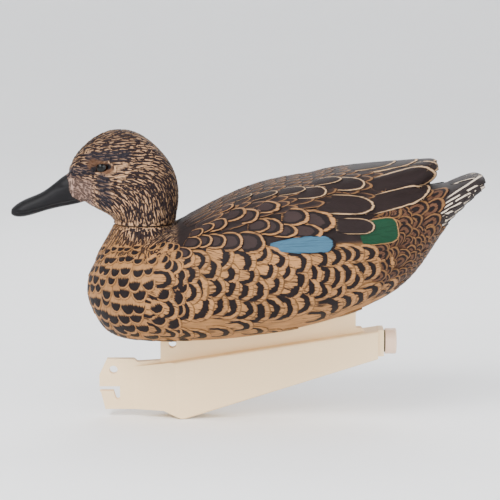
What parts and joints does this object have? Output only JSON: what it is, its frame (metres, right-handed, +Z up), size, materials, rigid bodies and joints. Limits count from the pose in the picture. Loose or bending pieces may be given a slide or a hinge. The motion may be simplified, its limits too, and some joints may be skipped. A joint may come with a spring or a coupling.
{
  "type": "floating duck decoy",
  "caption": "Hollow floating hen duck decoy with folded wings, a head that turns on a neck spigot, and a sand-filled keel with line hole, hooked slot and screw plug.",
  "frame": {"origin": "on the centre plane at the waterline, amidships", "axes": "+X towards the bill, +Y to the duck's left side, +Z up"},
  "size_m": [0.3199, 0.124, 0.1966],
  "materials": {
    "painted_body": "matte",
    "painted_head": "matte",
    "bearing_plastic": "satin",
    "insert_brass": "satin",
    "seal_rubber": "matte",
    "screw_steel": "satin",
    "clip_steel": "satin",
    "keel_plastic": "satin",
    "ballast_sand": "matte",
    "eye_glass": "gloss",
    "plug_plastic": "satin"
  },
  "bodies": {
    "hull": {"body_shell": "painted_body", "neck_socket": "bearing_plastic", "hull_inserts": "insert_brass", "keel_gasket": "seal_rubber", "keel_screws": "screw_steel", "keel_shell": "keel_plastic", "sand_ballast": "ballast_sand"},
    "head": {"head_shell": "painted_head", "left_eye": "eye_glass", "right_eye": "eye_glass", "neck_spigot": "bearing_plastic", "friction_ring": "seal_rubber", "retaining_clip": "clip_steel"},
    "seal": {"plug_seal": "seal_rubber"},
    "plug": {"keel_plug": "plug_plastic"}
  },
  "joints": [
    {"name": "head_turn", "type": "hinge", "parent": "hull", "child": "head", "pos_m": [0.0735, 0, 0.07], "axis": [0, 0, 1], "range_deg": [-75, 75]},
    {"name": "plug_travel", "type": "slide", "parent": "hull", "child": "seal", "axis": [-1, 0, 0], "range_m": [0, 0.012]},
    {"name": "plug_turn", "type": "hinge", "parent": "seal", "child": "plug", "pos_m": [-0.09, 0, -0.0112], "axis": [1, 0, 0], "range_deg": [0, 1080]}
  ],
  "couplings": [
    {"joint": "plug_turn", "follows": "plug_travel", "rad_per_m": 1570.8}
  ]
}
